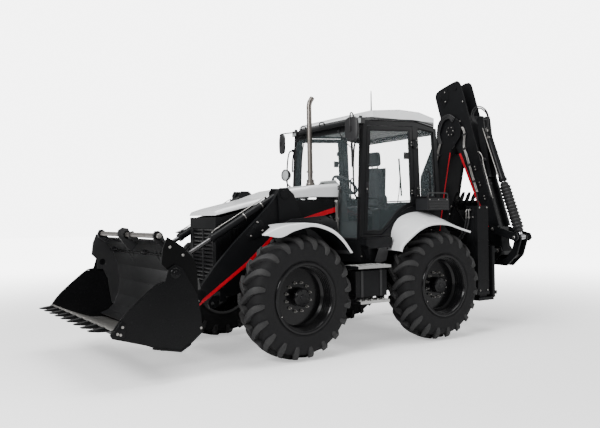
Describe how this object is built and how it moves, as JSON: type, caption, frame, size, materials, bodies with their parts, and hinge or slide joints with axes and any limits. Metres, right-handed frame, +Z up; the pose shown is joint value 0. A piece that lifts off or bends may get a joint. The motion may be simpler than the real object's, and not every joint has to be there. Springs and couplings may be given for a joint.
{
  "type": "backhoe loader",
  "caption": "Rigid backhoe loader with four equal wheels, clamshell loader bucket on two arms, glazed cab and an upright folded digging arm on a sliding carriage.",
  "frame": {"origin": "on the ground under the middle of the whole machine's box", "axes": "+X forward to the loader bucket, +Y to the machine's left, +Z up"},
  "size_m": [6.529, 2.4, 3.7419],
  "materials": {
    "white_paint": "gloss",
    "black_paint": "gloss",
    "dark_grey": "satin",
    "rim_black": "gloss",
    "tyre": "matt",
    "chrome_rod": "polished",
    "worn_steel": "worn",
    "stack_steel": "satin",
    "engine_iron": "rough",
    "glass": "clear",
    "seat_fabric": "woven",
    "console_plastic": "matt",
    "floor_mat": "matt"
  },
  "bodies": {
    "chassis": {"chassis_frame": "black_paint", "loader_towers": "black_paint", "engine_block": "engine_iron", "hood": "white_paint", "engine_panels": "black_paint", "axles": "dark_grey", "front_fenders": "white_paint", "rear_fenders": "white_paint", "cab_frame": "black_paint", "cab_roof": "white_paint", "cab_floor": "floor_mat", "cab_glass": "glass", "seat": "seat_fabric", "front_console": "console_plastic", "exhaust_stack": "stack_steel", "side_tanks": "black_paint", "steps": "black_paint", "rear_frame": "black_paint", "stabiliser_masts": "black_paint", "vent_boxes": "dark_grey"},
    "knuckle_front_left": {"knuckle_front_left": "dark_grey"},
    "wheel_front_left": {"rim_front_left": "rim_black", "tyre_front_left": "tyre"},
    "knuckle_front_right": {"knuckle_front_right": "dark_grey"},
    "wheel_front_right": {"rim_front_right": "rim_black", "tyre_front_right": "tyre"},
    "knuckle_rear_left": {"knuckle_rear_left": "dark_grey"},
    "wheel_rear_left": {"rim_rear_left": "rim_black", "tyre_rear_left": "tyre"},
    "knuckle_rear_right": {"knuckle_rear_right": "dark_grey"},
    "wheel_rear_right": {"rim_rear_right": "rim_black", "tyre_rear_right": "tyre"},
    "door_left": {"door_left": "black_paint", "door_glass_left": "glass"},
    "door_right": {"door_right": "black_paint", "door_glass_right": "glass"},
    "loader_arms": {"loader_arms": "black_paint"},
    "lift_barrels": {"lift_cylinder_barrels": "black_paint"},
    "lift_rods": {"lift_cylinder_rods": "chrome_rod"},
    "tilt_barrels": {"tilt_cylinder_barrels": "black_paint"},
    "tilt_rods": {"tilt_cylinder_rods": "chrome_rod"},
    "bucket": {"bucket_back": "black_paint", "fork_shaft": "worn_steel"},
    "bucket_jaw": {"bucket_jaw": "black_paint"},
    "carriage": {"carriage": "black_paint"},
    "kingpost": {"kingpost": "black_paint"},
    "boom": {"boom": "black_paint"},
    "boom_barrel": {"boom_cylinder_barrel": "black_paint"},
    "boom_rod": {"boom_cylinder_rod": "chrome_rod"},
    "dipper_barrel": {"dipper_cylinder_barrel": "black_paint"},
    "dipper_rod": {"dipper_cylinder_rod": "chrome_rod"},
    "dipper": {"dipper": "black_paint"},
    "dipper_extension": {"dipper_extension": "black_paint"},
    "bucket_barrel": {"bucket_cylinder_barrel": "black_paint"},
    "bucket_rod": {"bucket_cylinder_rod": "chrome_rod"},
    "tipping_lever": {"tipping_lever": "black_paint"},
    "tipping_link": {"tipping_link": "black_paint"},
    "digging_bucket": {"digging_bucket": "black_paint"},
    "stabiliser_left": {"stabiliser_leg_left": "black_paint"},
    "stabiliser_right": {"stabiliser_leg_right": "black_paint"}
  },
  "joints": [
    {"name": "steer_front_left", "type": "hinge", "parent": "chassis", "child": "knuckle_front_left", "pos_m": [0.885, 0.73, 0.715], "axis": [0, 0, 1], "range_deg": [-20, 20]},
    {"name": "spin_front_left", "type": "hinge", "parent": "knuckle_front_left", "child": "wheel_front_left", "pos_m": [0.885, 0.985, 0.715], "axis": [0, 1, 0], "continuous": true},
    {"name": "steer_front_right", "type": "hinge", "parent": "chassis", "child": "knuckle_front_right", "pos_m": [0.885, -0.73, 0.715], "axis": [0, 0, 1], "range_deg": [-20, 20]},
    {"name": "spin_front_right", "type": "hinge", "parent": "knuckle_front_right", "child": "wheel_front_right", "pos_m": [0.885, -0.985, 0.715], "axis": [0, 1, 0], "continuous": true},
    {"name": "steer_rear_left", "type": "hinge", "parent": "chassis", "child": "knuckle_rear_left", "pos_m": [-1.315, 0.73, 0.715], "axis": [0, 0, 1], "range_deg": [-15, 15]},
    {"name": "spin_rear_left", "type": "hinge", "parent": "knuckle_rear_left", "child": "wheel_rear_left", "pos_m": [-1.315, 0.985, 0.715], "axis": [0, 1, 0], "continuous": true},
    {"name": "steer_rear_right", "type": "hinge", "parent": "chassis", "child": "knuckle_rear_right", "pos_m": [-1.315, -0.73, 0.715], "axis": [0, 0, 1], "range_deg": [-15, 15]},
    {"name": "spin_rear_right", "type": "hinge", "parent": "knuckle_rear_right", "child": "wheel_rear_right", "pos_m": [-1.315, -0.985, 0.715], "axis": [0, 1, 0], "continuous": true},
    {"name": "door_left_hinge", "type": "hinge", "parent": "chassis", "child": "door_left", "pos_m": [-1.19, 0.795, 2], "axis": [0, 0, 1], "range_deg": [0, 100]},
    {"name": "door_right_hinge", "type": "hinge", "parent": "chassis", "child": "door_right", "pos_m": [-1.19, -0.795, 2], "axis": [0, 0, -1], "range_deg": [0, 100]},
    {"name": "loader_lift", "type": "hinge", "parent": "chassis", "child": "loader_arms", "pos_m": [0.775, 0, 1.9], "axis": [0, -1, 0], "range_deg": [-10, 95]},
    {"name": "lift_barrel_swing", "type": "hinge", "parent": "chassis", "child": "lift_barrels", "pos_m": [0.485, 0, 0.545], "axis": [0, -1, 0], "range_deg": [-1.45, 12.07]},
    {"name": "lift_rod_stroke", "type": "slide", "parent": "lift_barrels", "child": "lift_rods", "axis": [0.5689, 0, 0.8224], "range_m": [-0.0827, 0.7687]},
    {"name": "bucket_tilt", "type": "hinge", "parent": "loader_arms", "child": "bucket", "pos_m": [2.045, 0, 0.68], "axis": [0, 1, 0], "range_deg": [-20, 100]},
    {"name": "tilt_barrel_swing", "type": "hinge", "parent": "loader_arms", "child": "tilt_barrels", "pos_m": [0.775, 0, 1.9], "axis": [0, -1, 0], "range_deg": [-2.9, 0.74]},
    {"name": "tilt_rod_stroke", "type": "slide", "parent": "tilt_barrels", "child": "tilt_rods", "axis": [0.8708, 0, -0.4916], "range_m": [-0.1511, 0.7474]},
    {"name": "bucket_jaw_open", "type": "hinge", "parent": "bucket", "child": "bucket_jaw", "pos_m": [2.455, 0, 1.08], "axis": [0, -1, 0], "range_deg": [0, 60]},
    {"name": "carriage_slide", "type": "slide", "parent": "chassis", "child": "carriage", "axis": [0, 1, 0], "range_m": [0, 1.2]},
    {"name": "swing", "type": "hinge", "parent": "carriage", "child": "kingpost", "pos_m": [-2.965, -0.68, 0.75], "axis": [0, 0, 1], "range_deg": [0, 180]},
    {"name": "boom_lift", "type": "hinge", "parent": "kingpost", "child": "boom", "pos_m": [-2.965, -0.42, 0.74], "axis": [-1, 0, 0], "range_deg": [0, 100]},
    {"name": "boom_barrel_swing", "type": "hinge", "parent": "kingpost", "child": "boom_barrel", "pos_m": [-2.965, -0.78, 1.14], "axis": [-1, 0, 0], "range_deg": [-0.2, 95.9]},
    {"name": "boom_rod_stroke", "type": "slide", "parent": "boom_barrel", "child": "boom_rod", "axis": [0, 0.1427, 0.9898], "range_m": [-0.002, 0.8188]},
    {"name": "dipper_swing", "type": "hinge", "parent": "boom", "child": "dipper", "pos_m": [-2.965, -0.04, 2.96], "axis": [1, 0, 0], "range_deg": [0, 100]},
    {"name": "dipper_barrel_swing", "type": "hinge", "parent": "boom", "child": "dipper_barrel", "pos_m": [-2.965, -0.42, 1.22], "axis": [1, 0, 0], "range_deg": [-0.2, 8.5]},
    {"name": "dipper_rod_stroke", "type": "slide", "parent": "dipper_barrel", "child": "dipper_rod", "axis": [0, 0.0565, 0.9984], "range_m": [-0.8747, 0.002]},
    {"name": "dipper_extend", "type": "slide", "parent": "dipper", "child": "dipper_extension", "axis": [0, 0.3021, -0.9533], "range_m": [0, 1]},
    {"name": "bucket_curl", "type": "hinge", "parent": "dipper_extension", "child": "digging_bucket", "pos_m": [-2.965, 0.8, 1.1], "axis": [1, 0, 0], "range_deg": [0, 170]},
    {"name": "tipping_lever_swing", "type": "hinge", "parent": "dipper_extension", "child": "tipping_lever", "pos_m": [-2.965, 0.745, 1.415], "axis": [1, 0, 0], "range_deg": [-0.2, 80.61]},
    {"name": "tipping_link_swing", "type": "hinge", "parent": "digging_bucket", "child": "tipping_link", "pos_m": [-2.965, 0.672, 0.936], "axis": [-1, 0, 0], "range_deg": [-0.2, 108.41]},
    {"name": "bucket_barrel_swing", "type": "hinge", "parent": "dipper_extension", "child": "bucket_barrel", "pos_m": [-2.965, 0.47, 3.08], "axis": [1, 0, 0], "range_deg": [-0.2, 1.53]},
    {"name": "bucket_rod_stroke", "type": "slide", "parent": "bucket_barrel", "child": "bucket_rod", "axis": [0, 0.343, -0.9393], "range_m": [-0.5073, 0.002]},
    {"name": "stabiliser_left_slide", "type": "slide", "parent": "chassis", "child": "stabiliser_left", "axis": [0, 0, -1], "range_m": [0, 0.44]},
    {"name": "stabiliser_right_slide", "type": "slide", "parent": "chassis", "child": "stabiliser_right", "axis": [0, 0, -1], "range_m": [0, 0.44]}
  ],
  "couplings": [
    {"joint": "steer_front_right", "follows": "steer_front_left", "ratio": 1},
    {"joint": "steer_rear_right", "follows": "steer_rear_left", "ratio": 1},
    {"joint": "lift_barrel_swing", "follows": "loader_lift", "ratio": 0.125},
    {"joint": "lift_rod_stroke", "follows": "loader_lift", "m_per_rad": 0.4624},
    {"joint": "tilt_barrel_swing", "follows": "bucket_tilt", "ratio": -0.027},
    {"joint": "tilt_rod_stroke", "follows": "bucket_tilt", "m_per_rad": 0.4271},
    {"joint": "boom_barrel_swing", "follows": "boom_lift", "ratio": 0.957},
    {"joint": "boom_rod_stroke", "follows": "boom_lift", "m_per_rad": 0.468},
    {"joint": "dipper_barrel_swing", "follows": "dipper_swing", "ratio": 0.083},
    {"joint": "dipper_rod_stroke", "follows": "dipper_swing", "m_per_rad": -0.5},
    {"joint": "tipping_lever_swing", "follows": "bucket_curl", "ratio": 0.473},
    {"joint": "tipping_link_swing", "follows": "bucket_curl", "ratio": 0.6365},
    {"joint": "bucket_barrel_swing", "follows": "bucket_curl", "ratio": 0.0078},
    {"joint": "bucket_rod_stroke", "follows": "bucket_curl", "m_per_rad": -0.1703}
  ]
}
